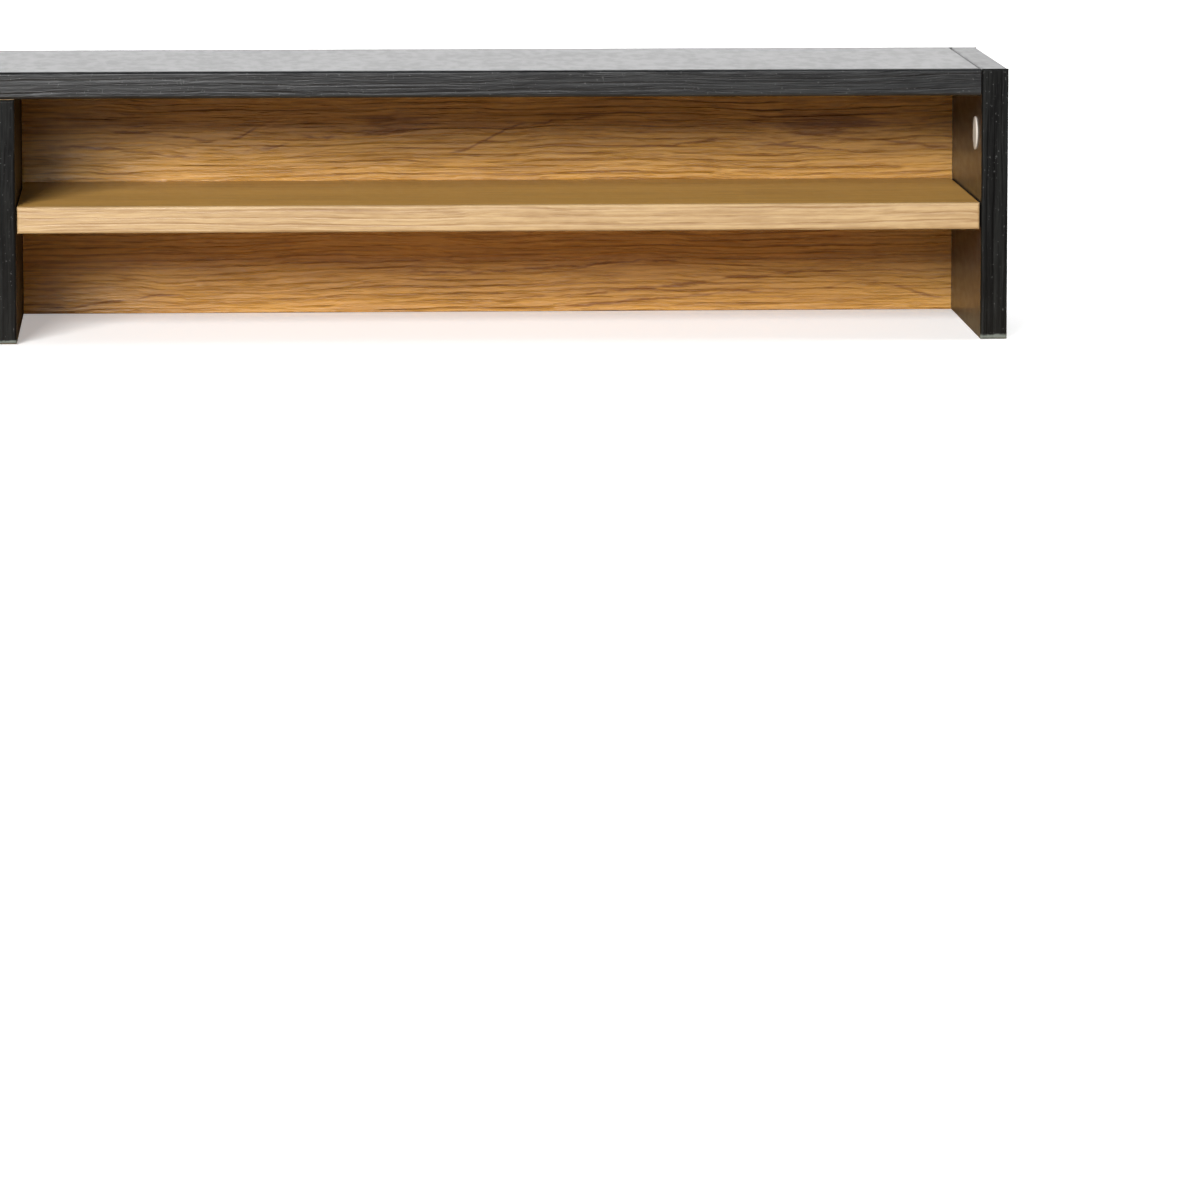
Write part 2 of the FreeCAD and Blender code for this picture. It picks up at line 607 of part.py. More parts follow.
def check_and_export():
    for item in doc.Objects:
        if "Invalid" in item.State or "Error" in item.State:
            raise RuntimeError(f"{item.Label}: {item.State}")
    for node in nodes:
        if node.Shape.isNull() or not node.Shape.isValid() or not node.Shape.Solids:
            raise RuntimeError(f"{node.Label}: bad shape")
    os.makedirs("parts", exist_ok=True)
    for node in nodes:
        node.Shape.exportStep(f"parts/{node.Label}.step")
        box = node.Shape.BoundBox
        print(f"{node.Label:28s} solids {len(node.Shape.Solids)}  volume {node.Shape.Volume:10.0f}  "
              f"x {box.XMin:.1f} {box.XMax:.1f}  y {box.YMin:.1f} {box.YMax:.1f}  "
              f"z {box.ZMin:.1f} {box.ZMax:.1f}")


make_sheet()
hutch_boards = make_boards()
make_bands()
drill_end_panels(hutch_boards)
drill_top_board(hutch_boards)
drill_shelves(hutch_boards)
drill_divider(hutch_boards)
drill_back_panel(hutch_boards)
fitted_cams = fit_cams()
fit_caps(fitted_cams)
fit_bolts()
fit_dowels()
fit_screws_and_inserts()
doc.recompute()
check_and_export()
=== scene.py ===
import json
import logging
import math
from dataclasses import dataclass, field, replace
from enum import Enum
from functools import reduce

import bmesh
import bpy
import numpy as np
from mathutils import Matrix, Vector


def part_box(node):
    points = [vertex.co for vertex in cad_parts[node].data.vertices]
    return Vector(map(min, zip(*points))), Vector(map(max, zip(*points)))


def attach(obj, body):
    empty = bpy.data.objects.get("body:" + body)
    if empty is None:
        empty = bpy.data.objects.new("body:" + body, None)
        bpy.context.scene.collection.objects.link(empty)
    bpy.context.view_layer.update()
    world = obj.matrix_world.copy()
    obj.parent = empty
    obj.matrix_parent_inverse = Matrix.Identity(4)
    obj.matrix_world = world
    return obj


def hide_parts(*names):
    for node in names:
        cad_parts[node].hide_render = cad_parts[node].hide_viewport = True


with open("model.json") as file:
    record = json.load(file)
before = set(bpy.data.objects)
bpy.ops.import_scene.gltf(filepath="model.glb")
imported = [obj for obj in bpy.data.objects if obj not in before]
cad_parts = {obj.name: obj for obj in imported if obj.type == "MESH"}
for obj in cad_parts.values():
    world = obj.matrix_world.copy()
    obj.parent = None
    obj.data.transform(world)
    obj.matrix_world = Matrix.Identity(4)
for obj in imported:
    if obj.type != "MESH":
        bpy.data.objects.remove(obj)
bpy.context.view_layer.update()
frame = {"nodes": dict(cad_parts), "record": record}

# Lengths and places are in metres.
MM = 0.001
BODY = "root"
TOUCHING = 0.001 * MM
SHARP_DEGREES = 40
log = logging.getLogger("desk_hutch")

Colour = tuple[float, float, float]
Triple = tuple[float, float, float]
Material, Mesh, Object = bpy.types.Material, bpy.types.Mesh, bpy.types.Object
Node, NodeTree, Socket = bpy.types.Node, bpy.types.NodeTree, bpy.types.NodeSocket
Source = Socket | float | Triple


class Grain(Enum):
    """Way a board's grain runs, as the turn that brings it onto the pattern's X axis."""

    ALONG_X = (0.0, 0.0, 0.0)
    ALONG_Y = (0.0, 0.0, -math.pi / 2)
    ALONG_Z = (0.0, math.pi / 2, 0.0)


class Facing(Enum):
    """Side that a band or a cap looks towards, as its axis and 1 along it or -1 against it."""

    FRONT = (1, -1)
    REAR = (1, 1)
    UP = (2, 1)
    DOWN = (2, -1)
    LEFT = (0, -1)
    RIGHT = (0, 1)


class Edge(Enum):
    """How an edge band's ends are finished: square against another board, or rounded."""

    BUTTED = "butted"
    FREE = "free"


# ---- shader building

@dataclass
class Shader:
    """Short way to add and join nodes in a material's or a group's node tree."""

    tree: NodeTree

    def add(self, kind: str, **settings: object) -> Node:
        """Add a node.

        Args:
            kind: Node type without its ShaderNode prefix.
            settings: Properties to set on the node.

        Returns:
            The new node.
        """
        node = self.tree.nodes.new("ShaderNode" + kind)
        for name, value in settings.items():
            setattr(node, name, value)
        return node

    def feed(self, socket: Socket, source: Source) -> None:
        """Link an input to another node's output, or set it to a plain value.

        Args:
            socket: The input.
            source: The output or the plain value.
        """
        if isinstance(source, Socket):
            self.tree.links.new(source, socket)
        else:
            socket.default_value = source

    def fill(self, node: Node, inputs: dict[str, Source]) -> None:
        """Feed a node's inputs by name."""
        for name, source in inputs.items():
            self.feed(node.inputs[name], source)

    def maths(self, operation: str, *values: Source, clamp: bool = False) -> Socket:
        """Add a Math node.

        Args:
            operation: Its operation.
            values: Up to three inputs.
            clamp: Whether the result is kept between 0 and 1.

        Returns:
            Its output.
        """
        node = self.add("Math", operation=operation, use_clamp=clamp)
        for socket, value in zip(node.inputs, values):
            self.feed(socket, value)
        return node.outputs[0]

    def times(self, *values: Source) -> Socket:
        """Multiply numbers together."""
        return reduce(lambda first, second: self.maths("MULTIPLY", first, second), values)

    def plus(self, *values: Source) -> Socket:
        """Add numbers up."""
        return reduce(lambda first, second: self.maths("ADD", first, second), values)

    def minus(self, first: Source, second: Source) -> Socket:
        """Take the second number from the first."""
        return self.maths("SUBTRACT", first, second)

    def vector(self, operation: str, *values: Source) -> Socket:
        """Add a Vector Math node.

        Args:
            operation: Its operation.
            values: Up to two vectors.

        Returns:
            Its main output, a number for a length and otherwise a vector.
        """
        node = self.add("VectorMath", operation=operation)
        for socket, value in zip(node.inputs, values):
            self.feed(socket, value)
        return node.outputs["Value"] if operation == "LENGTH" else node.outputs["Vector"]

    def join(self, *numbers: Source) -> Socket:
        """Join three numbers into a vector.

        Args:
            numbers: The vector's three parts.

        Returns:
            The vector.
        """
        node = self.add("CombineXYZ")
        for socket, number in zip(node.inputs, numbers):
            self.feed(socket, number)
        return node.outputs[0]

    def part(self, vector: Source, axis: int) -> Socket:
        """Take one number out of a vector.

        Args:
            vector: The vector.
            axis: 0, 1 or 2 for X, Y or Z.

        Returns:
            The number.
        """
        node = self.add("SeparateXYZ")
        self.feed(node.inputs[0], vector)
        return node.outputs[axis]

    def ramp(self, value: Source, low: Source, high: Source, to_low: Source = 0.0,
             to_high: Source = 1.0) -> Socket:
        """Map a value by a smooth step.

        Args:
            value: The value.
            low: Value that becomes to_low.
            high: Value that becomes to_high.
            to_low: Result at and below low.
            to_high: Result at and above high.

        Returns:
            The result.
        """
        node = self.add("MapRange", interpolation_type="SMOOTHSTEP")
        self.fill(node, {"Value": value, "From Min": low, "From Max": high, "To Min": to_low,
                         "To Max": to_high})
        return node.outputs["Result"]

    def blend(self, share: Source, first: Socket | Colour, second: Socket | Colour) -> Socket:
        """Mix two colours.

        Args:
            share: 0 for the first colour only, 1 for the second only.
            first: First colour.
            second: Second colour.

        Returns:
            The mixed colour.
        """
        node = self.add("Mix", data_type="RGBA")
        self.feed(node.inputs[0], share)
        for socket, source in ((node.inputs[6], first), (node.inputs[7], second)):
            self.feed(socket, (*source, 1.0) if isinstance(source, tuple) else source)
        return node.outputs[2]

    def noise(self, vector: Source, scale: float | Triple, detail: float = 2.0,
              roughness: float = 0.5) -> Socket:
        """Add a Noise Texture.

        Args:
            vector: Place.
            scale: Noise cells per metre, one number or one for each axis.
            detail: How many finer layers it has.
            roughness: Strength of the finer layers.

        Returns:
            The noise, from 0 to 1.
        """
        if isinstance(scale, tuple):
            vector = self.vector("MULTIPLY", vector, scale)
            scale = 1.0
        node = self.add("TexNoise", noise_dimensions="3D")
        self.fill(node, {"Vector": vector, "Scale": scale, "Detail": detail, "Roughness": roughness})
        return node.outputs["Fac"]

    def use(self, group: NodeTree, vector: Socket, values: dict[str, Source]) -> dict[str, Socket]:
        """Place a node group.

        Args:
            group: The group.
            vector: Place for its Vector input.
            values: Its other inputs by name.

        Returns:
            Its outputs by name.
        """
        node = self.add("Group", node_tree=group)
        self.fill(node, {"Vector": vector, **values})
        return {socket.name: socket for socket in node.outputs}

    def give(self, **masks: Socket) -> NodeTree:
        """Finish a node group.

        Args:
            masks: The mask from 0 to 1 for each named output.

        Returns:
            The group.
        """
        for name in masks:
            self.tree.interface.new_socket(name, in_out="OUTPUT", socket_type="NodeSocketFloat")
        self.fill(self.tree.nodes.new("NodeGroupOutput"), masks)
        return self.tree


def start_group(name: str, inputs: dict[str, float | Triple]) -> tuple[Shader, dict[str, Socket]]:
    """Start a shader node group with a Vector input.

    Args:
        name: The group's name.
        inputs: Defaults of its other inputs by name, each a number or a vector.

    Returns:
        A Shader on the group's tree, and its inputs by name.
    """
    tree = bpy.data.node_groups.new(name, "ShaderNodeTree")
    tree.interface.new_socket("Vector", in_out="INPUT", socket_type="NodeSocketVector")
    for title, default in inputs.items():
        kind = "NodeSocketVector" if isinstance(default, tuple) else "NodeSocketFloat"
        tree.interface.new_socket(title, in_out="INPUT", socket_type=kind).default_value = default
    entry = tree.nodes.new("NodeGroupInput")
    return Shader(tree), {socket.name: socket for socket in entry.outputs}


def woodgrain_group() -> NodeTree:
    """Plain-sawn woodgrain in metres, its grain along X.

    Growth lines are the crests of a sine of the distance from one heart, squeezed along the grain
    so that they make long arches, and bent by slow noise. Fibres, pores, mottle and cloud are noise
    drawn out along the grain.

    Returns:
        The node group, with masks from 0 to 1.
    """
    shader, given = start_group("woodgrain", {"Heart": (0.0, 0.0, 0.0), "Squeeze": 0.07,
                                              "Line Spacing": 0.0041, "Waver": 0.011, "Stretch": 1.0})
    point = shader.vector("MULTIPLY", given["Vector"], shader.join(given["Stretch"], 1.0, 1.0))
    bends = []
    for scale, share in (((9.0, 26.0, 26.0), 1.0), ((38.0, 90.0, 90.0), 0.22)):
        bend = shader.minus(shader.noise(point, scale), 0.5)
        bends.append(shader.times(bend, shader.times(given["Waver"], share)))
    bend = shader.plus(*bends)
    wavering = shader.vector("ADD", point, shader.join(0.0, bend, bend))
    apart = shader.vector("SUBTRACT", wavering, given["Heart"])
    squeezed = shader.vector("MULTIPLY", apart, shader.join(given["Squeeze"], 1.0, 1.0))
    turn = shader.maths("DIVIDE", shader.vector("LENGTH", squeezed), given["Line Spacing"])
    crest = shader.ramp(shader.maths("SINE", shader.times(turn, 2 * math.pi)), 0.4, 0.95)
    broken = shader.ramp(shader.noise(wavering, (12.0, 300.0, 300.0)), 0.36, 0.58)
    patches = shader.ramp(shader.noise(point, (6.0, 30.0, 30.0)), 0.35, 0.62, 0.45, 1.0)
    return shader.give(
        Lines=shader.times(crest, broken, patches),
        Fibre=shader.noise(wavering, (19.0, 560.0, 560.0), 3.0, 0.58),
        Mottle=shader.noise(wavering, (150.0, 520.0, 520.0), 3.0, 0.6),
        Pores=shader.ramp(shader.noise(wavering, (42.0, 900.0, 900.0), 1.0), 0.56, 0.68),
        Cloud=shader.noise(point, (5.0, 34.0, 34.0), 3.0))


def stroke_group() -> NodeTree:
    """One long dark growth line that climbs from a start height to an end height.

    The line's height is a smooth step between two places along the grain, and the mask falls off
    with the distance to it and towards both ends.

    Returns:
        The node group, with a mask from 0 to 1.
    """
    taper = 12 * MM
    waver_height = 6 * MM
    shader, given = start_group("growth_stroke", {"Start": 0.0, "End": 0.1, "Start Height": 0.0,
                                                  "End Height": 0.01, "Thickness": 0.0009})
    place, start, end = given["Vector"], given["Start"], given["End"]
    along = shader.part(place, 0)
    waver = shader.minus(shader.noise(place, (55.0, 60.0, 60.0), 3.0), 0.5)
    height = shader.plus(shader.part(place, 2), shader.times(waver, waver_height))
    curve = shader.ramp(along, start, end, given["Start Height"], given["End Height"])
    apart = shader.maths("ABSOLUTE", shader.minus(height, curve))
    near = shader.ramp(apart, 0.0, given["Thickness"], 1.0, 0.0)
    swell = shader.ramp(shader.noise(place, (90.0, 90.0, 90.0), 1.0), 0.3, 0.6, 0.35, 1.0)
    enter = shader.ramp(along, start, shader.plus(start, taper))
    leave = shader.ramp(along, shader.minus(end, taper), end, 1.0, 0.0)
    return shader.give(Mask=shader.times(near, shader.times(enter, leave), swell))


def smudge_group() -> NodeTree:
    """A soft dark patch of dense grain with frayed ends.

    The mask falls off with an ellipse's distance from the middle, bent by drawn-out noise.

    Returns:
        The node group, with a mask from 0 to 1.
    """
    shader, given = start_group("dark_smudge", {"Middle": (0.0, 0.0, 0.0), "Half Size": (0.03, 1.0, 0.01)})
    fray = shader.minus(shader.noise(given["Vector"], (32.0, 330.0, 330.0), 4.0, 0.6), 0.5)
    apart = shader.vector("SUBTRACT", given["Vector"], given["Middle"])
    reach = shader.vector("LENGTH", shader.vector("DIVIDE", apart, given["Half Size"]))
    frayed = shader.plus(reach, shader.times(fray, 2.6))
    return shader.give(Mask=shader.ramp(frayed, 0.3, 1.1, 1.0, 0.0))


def handling_and_foot_group() -> NodeTree:
    """Faint smears, specks, an uneven sheen and a mask for a lighter grey lower end with a ragged upper
    border.

    Returns:
        The node group, with masks from 0 to 1.
    """
    shader, given = start_group("handling_and_foot", {"Foot Height": 0.0})
    place, foot = given["Vector"], given["Foot Height"]
    height = shader.plus(shader.part(place, 2), shader.times(shader.noise(place, 160.0), foot))
    return shader.give(
        Smears=shader.ramp(shader.noise(place, 14.0), 0.2, 0.85),
        Specks=shader.ramp(shader.noise(place, 620.0, 1.0), 0.7, 0.76),
        Foot=shader.ramp(height, foot, shader.times(foot, 1.4), 1.0, 0.0),
        Sheen=shader.ramp(shader.noise(place, (170.0, 60.0, 170.0)), 0.3, 0.7))


WOODGRAIN = woodgrain_group()
STROKE = stroke_group()
SMUDGE = smudge_group()
HANDLING_AND_FOOT = handling_and_foot_group()


def start_material(name: str) -> tuple[Material, Shader, Node, Socket]:
    """Start a material with one Principled BSDF.

    Args:
        name: The material's name.

    Returns:
        The material, a Shader on its tree, its Principled BSDF and its Object coordinates.
    """
    material = bpy.data.materials.new(name)
    material.use_nodes = True
    shader = Shader(material.node_tree)
    principled = material.node_tree.nodes["Principled BSDF"]
    return material, shader, principled, shader.add("TexCoord").outputs["Object"]


def add_bump(shader: Shader, principled: Node, height: Source, depth: float) -> None:
    """Drive the shader's normal by a height mask.

    Args:
        shader: The material's Shader.
        principled: Its Principled BSDF.
        height: Mask from 0 to 1.
        depth: Height of the relief.
    """
    bump = shader.add("Bump")
    shader.fill(bump, {"Strength": 1.0, "Distance": depth, "Height": height})
    shader.feed(principled.inputs["Normal"], bump.outputs["Normal"])


@dataclass(frozen=True)
class Stroke:
    """One dark growth line of the printed figure, in metres along and across the grain."""

    start: float
    start_height: float
    end: float
    end_height: float
    thickness: float = 1.4 * MM
    strength: float = 0.65

    def mask(self, shader: Shader, pattern: Socket) -> Socket:
        """Draw the line over the places of the pattern, up to its strength."""
        values = {"Start": self.start, "End": self.end, "Start Height": self.start_height,
                  "End Height": self.end_height, "Thickness": self.thickness}
        return shader.times(shader.use(STROKE, pattern, values)["Mask"], self.strength)


@dataclass(frozen=True)
class Smudge:
    """One dark patch of the printed figure: its middle and half sizes in metres."""

    along: float
    across: float
    half_length: float
    half_height: float
    strength: float = 0.6

    def mask(self, shader: Shader, pattern: Socket) -> Socket:
        """Draw the patch over the places of the pattern, right through the board."""
        values = {"Middle": (self.along, 0.0, self.across),
                  "Half Size": (self.half_length, 10.0, self.half_height)}
        return shader.times(shader.use(SMUDGE, pattern, values)["Mask"], self.strength)


@dataclass(frozen=True)
class Decor:
    """Printed woodgrain on a board or an edge band. Strengths run from 0 to 1.

    Attributes:
        name: The material's name.
        slot: The record's material slot.
        light: Ground colour.
        dark: Colour of lines and dark fibres.
        grain: Way the grain runs.
        roughness: Mean roughness.
        relief: Depth of the pressed pores.
        lines: Strength of the growth lines.
        fibre: Strength of the fibres.
        mottle: Strength of the short mottling.
        cloud: Strength of the slow changes in tone.
        specks: Strength of the pale specks.
        heart: Middle of the growth arches, in the hutch's frame.
        shift: Offset of the pattern, so that boards differ.
        specular: Specular level of the surface.
        stretch: Factor along the grain, below 1 for longer fibres.
        foot: Height of the lighter grey lower end.
        foot_grey: Colour of the lighter grey lower end.
        strokes: Single dark growth lines.
        smudges: Dark patches.
    """

    name: str
    slot: str
    light: Colour
    dark: Colour
    grain: Grain = Grain.ALONG_X
    roughness: float = 0.4
    relief: float = 0.12 * MM
    lines: float = 0.5
    fibre: float = 0.4
    mottle: float = 0.3
    cloud: float = 0.3
    specks: float = 0.0
    heart: Triple = (0.0, 0.0, -0.4)
    shift: Triple = (0.0, 0.0, 0.0)
    specular: float = 0.5
    stretch: float = 1.0
    foot: float = 0.0
    # Colour of the lighter grey band at the lower end.
    foot_grey: Colour = (0.13, 0.145, 0.13)
    strokes: tuple[Stroke, ...] = ()
    smudges: tuple[Smudge, ...] = ()

    def named(self, name: str, shift: Triple = (0.0, 0.0, 0.0), **changes: object) -> "Decor":
        """Take the same print for another piece, shifted and changed as given."""
        return replace(self, name=name, shift=shift, **changes)

    def heart_in_pattern(self) -> Vector:
        """Bring the heart from the hutch's frame into the turned and shifted pattern.

        Returns:
            The heart's place in the pattern.
        """
        turn = Matrix.Identity(3)
        for axis, angle in zip("XYZ", self.grain.value):
            turn = Matrix.Rotation(angle, 3, axis) @ turn
        return turn @ Vector(self.heart) + Vector(self.shift)

    def figure(self, shader: Shader, pattern: Socket) -> Source:
        """Add up the single strokes and smudges.

        Args:
            shader: The material's Shader.
            pattern: Place in the pattern's frame.

        Returns:
            The mask, or 0 where there are none.
        """
        total = 0.0
        for stroke in self.strokes:
            total = shader.maths("MAXIMUM", stroke.mask(shader, pattern), total)
        for smudge in self.smudges:
            share = shader.times(smudge.mask(shader, pattern), shader.minus(1.0, total))
            total = shader.plus(total, share)
        return total

    def tone(self, shader: Shader, pattern: Socket, wood: dict[str, Socket]) -> Socket:
        """Add up everything dark in the print.

        Args:
            shader: The material's Shader.
            pattern: Place in the pattern's frame.
            wood: The woodgrain's masks.

        Returns:
            The mask, 0 on the ground and 1 in the darkest lines.
        """
        total = self.figure(shader, pattern)
        for mask, strength in (
                (wood["Lines"], self.lines), (wood["Pores"], 0.5 * self.lines),
                (shader.ramp(wood["Fibre"], 0.38, 0.62), self.fibre),
                (shader.ramp(wood["Mottle"], 0.35, 0.68), self.mottle),
                (shader.ramp(wood["Cloud"], 0.35, 0.7), self.cloud)):
            total = shader.plus(total, shader.times(mask, strength))
        return shader.maths("MINIMUM", total, 1.0)

    def relief_mask(self, shader: Shader, wood: dict[str, Socket]) -> Socket:
        """Raise the fibres and sink the growth lines and the pores.

        Args:
            shader: The material's Shader.
            wood: The woodgrain's masks.

        Returns:
            The height of the relief.
        """
        sunk = shader.plus(shader.times(wood["Lines"], 0.6), shader.times(wood["Pores"], 0.3))
        proud = shader.plus(wood["Fibre"], shader.times(wood["Mottle"], 0.5))
        return shader.minus(proud, sunk)

    def material(self) -> Material:
        """Build the finish.

        Returns:
            The new material.
        """
        material, shader, principled, place = start_material(self.name)
        turn = shader.add("Mapping", vector_type="POINT")
        shader.fill(turn, {"Vector": place, "Rotation": self.grain.value, "Location": self.shift})
        pattern = turn.outputs["Vector"]
        wood = shader.use(WOODGRAIN, pattern, {"Heart": self.heart_in_pattern(), "Stretch": self.stretch})
        handled_and_foot = shader.use(HANDLING_AND_FOOT, place, {"Foot Height": self.foot})
        colour = shader.blend(self.tone(shader, pattern, wood), self.light, self.dark)
        if self.specks:
            pale = tuple(0.5 * part + 0.12 for part in self.light)
            colour = shader.blend(shader.times(handled_and_foot["Specks"], self.specks), colour, pale)
        # Lay a lighter grey band over the lower end, up to the foot height, with a ragged upper border.
        if self.foot:
            colour = shader.blend(shader.times(handled_and_foot["Foot"], 0.85), colour, self.foot_grey)
        worn = shader.plus(shader.times(handled_and_foot["Smears"], 0.3), shader.times(handled_and_foot["Sheen"], 0.7))
        rough = shader.ramp(worn, 0.0, 1.0, self.roughness - 0.01, self.roughness + 0.04)
        shader.fill(principled, {"Base Color": colour, "Roughness": rough,
                                 "Specular IOR Level": self.specular})
        add_bump(shader, principled, self.relief_mask(shader, wood), self.relief)
        return material


@dataclass(frozen=True)
class Chipboard:
    """Bare core of a board, where no decor or band covers it."""

    name: str = "chipboard_core"
    pale: Colour = (0.50, 0.36, 0.21)
    dark: Colour = (0.26, 0.16, 0.08)

    def material(self) -> Material:
        """Build the finish: flat chips, each with its own tone, under a fine grain.

        Returns:
            The new material.
        """
        material, shader, principled, place = start_material(self.name)
        chips = shader.add("TexVoronoi", feature="F1")
        shader.fill(chips, {"Vector": shader.vector("MULTIPLY", place, (350.0, 350.0, 900.0)), "Scale": 1.0})
        grey = shader.add("SeparateColor")
        shader.feed(grey.inputs[0], chips.outputs["Color"])
        tone = shader.maths("ADD", shader.times(grey.outputs[0], 0.6),
                            shader.times(shader.noise(place, 1400.0), 0.4), clamp=True)
        shader.fill(principled, {"Base Color": shader.blend(tone, self.dark, self.pale), "Roughness": 0.85})
        add_bump(shader, principled, tone, 0.2 * MM)
        return material


@dataclass(frozen=True)
class Moulded:
    """Moulded plastic with a fine sparked skin."""

    name: str
    colour: Colour
    roughness: float = 0.45

    def material(self) -> Material:
        """Build the finish: a fine skin texture and faint smears.

        Returns:
            The new material.
        """
        material, shader, principled, place = start_material(self.name)
        smears = shader.use(HANDLING_AND_FOOT, place, {})["Smears"]
        darker = tuple(0.86 * part for part in self.colour)
        colour = shader.blend(shader.times(smears, 0.6), self.colour, darker)
        rough = shader.ramp(smears, 0.0, 1.0, self.roughness, self.roughness + 0.12)
        shader.fill(principled, {"Base Color": colour, "Roughness": rough})
        add_bump(shader, principled, shader.noise(place, 2600.0), 0.02 * MM)
        return material


@dataclass(frozen=True)
class Metal:
    """Plated or cast metal with fine tooling marks.

    Attributes:
        name: The material's name.
        colour: Metal colour.
        roughness: Mean roughness.
        marks: Stretch of the tooling marks along each axis.
    """

    name: str
    colour: Colour
    roughness: float
    marks: Triple = (1.0, 1.0, 1.0)

    def material(self) -> Material:
        """Build the finish: tooling marks in roughness and relief, and a patchy tone.

        Returns:
            The new material.
        """
        material, shader, principled, place = start_material(self.name)
        marks = shader.noise(shader.vector("MULTIPLY", place, self.marks), 1800.0, 3.0)
        darker = tuple(0.7 * part for part in self.colour)
        colour = shader.blend(shader.noise(place, 160.0), self.colour, darker)
        rough = shader.ramp(marks, 0.3, 0.7, self.roughness - 0.06, self.roughness + 0.1)
        shader.fill(principled, {"Base Color": colour, "Metallic": 1.0, "Roughness": rough})
        add_bump(shader, principled, marks, 0.02 * MM)
        return material


# ---- mesh building

def add_object(name: str, data: bpy.types.ID) -> Object:
    """Put a mesh, a light or a camera into the scene.

    Args:
        name: The object's name.
        data: Its mesh, light or camera.

    Returns:
        The new object.
    """
    new = bpy.data.objects.new(name, data)
    bpy.context.scene.collection.objects.link(new)
    return new


def add_piece(name: str, mesh: Mesh, slot: str, *nodes: str) -> Object:
    """Put a finished mesh into the scene, riding on the hutch.

    Args:
        name: The piece's name.
        mesh: Its mesh, in place in the hutch's frame.
        slot: The record's material slot. Not used.
        nodes: CAD nodes that it stands for.

    Returns:
        The new object.
    """
    piece = add_object(name, mesh)
    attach(piece, BODY)
    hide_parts(*nodes)
    log.info("%s: %d faces", name, len(mesh.polygons))
    return piece


def shade_flat_faces(piece: Object) -> None:
    """Keep a piece's large flat faces flat in shading."""
    level = piece.modifiers.new("flat_faces", "WEIGHTED_NORMAL")
    level.keep_sharp = True


def finish_edges(piece: Object, width: float, profile: float) -> None:
    """Round or rebate a piece's weighted edges.

    Args:
        piece: The piece.
        width: Width.
        profile: 0.5 for a rounding, 0 for a square rebate.
    """
    bevel = piece.modifiers.new("arris", "BEVEL")
    bevel.limit_method = "WEIGHT"
    bevel.width = width
    bevel.segments = 2
    bevel.profile = profile
    bevel.use_clamp_overlap = False
    bevel.harden_normals = False


def read_array(items: bpy.types.bpy_prop_collection, name: str, width: int, kind: type = float) -> np.ndarray:
    """Read one property of a mesh's vertices, edges or faces.

    Args:
        items: The vertices, edges or faces.
        name: The property.
        width: How many numbers each item holds.
        kind: Type of the numbers.

    Returns:
        The numbers, with a row for each item.
    """
    values = np.empty(len(items) * width, dtype=kind)
    items.foreach_get(name, values)
    return values.reshape(-1, width)


def merged_copy(node: str) -> Mesh:
    """Copy a CAD node's mesh with its loose triangles joined and its flat faces made whole.

    Args:
        node: The CAD node.

    Returns:
        The new mesh.
    """
    mesh = frame["nodes"][node].data.copy()
    mesh.name = node + "_mesh"
    if mesh.has_custom_normals:
        mesh.attributes.remove(mesh.attributes["custom_normal"])
    work = bmesh.new()
    work.from_mesh(mesh)
    bmesh.ops.remove_doubles(work, verts=work.verts, dist=TOUCHING)
    bmesh.ops.dissolve_limit(work, angle_limit=math.radians(0.5), verts=work.verts, edges=work.edges)
    work.to_mesh(mesh)
    work.free()
    return mesh


def closed_mesh(name: str, points: np.ndarray, faces: list[list[int]], sharp: float,
                material: Material) -> Mesh:
    """Make a closed, smooth mesh with its faces pointing outwards.

    Args:
        name: The mesh's name.
        points: Its points.
        faces: The corners of each face.
        sharp: Angle in degrees above which an edge is sharp.
        material: Its finish.

    Returns:
        The new mesh.
    """
    mesh = bpy.data.meshes.new(name)
    mesh.from_pydata(points.tolist(), [], faces)
    mesh.polygons.foreach_set("use_smooth", np.ones(len(faces), dtype=bool))
    work = bmesh.new()
    work.from_mesh(mesh)
    bmesh.ops.recalc_face_normals(work, faces=work.faces)
    work.to_mesh(mesh)
    work.free()
    mesh.set_sharp_from_angle(angle=math.radians(sharp))
    mesh.materials.append(material)
    return mesh


def closed_slab(front: np.ndarray, back: np.ndarray) -> tuple[np.ndarray, np.ndarray]:
    """Join two equal grids of points along their rims into one closed surface.

    Args:
        front: Points of one face, as rows by columns by 3.
        back: Points of the other face.

    Returns:
        All points, and the four corners of each face.
    """
    rows, columns = front.shape[:2]
    index = np.arange(rows * columns).reshape(rows, columns)
    corners = (index[:-1, :-1], index[1:, :-1], index[1:, 1:], index[:-1, 1:])
    front_faces = np.stack([corner.ravel() for corner in corners], axis=1)
    back_faces = front_faces[:, ::-1] + rows * columns
    rim = np.concatenate([index[0, :-1], index[:-1, -1], index[-1, :0:-1], index[:0:-1, 0]])
    far_rim = rim + rows * columns
    walls = np.stack([rim, np.roll(rim, -1), np.roll(far_rim, -1), far_rim], axis=1)
    points = np.concatenate([front.reshape(-1, 3), back.reshape(-1, 3)])
    return points, np.concatenate([front_faces, back_faces, walls])


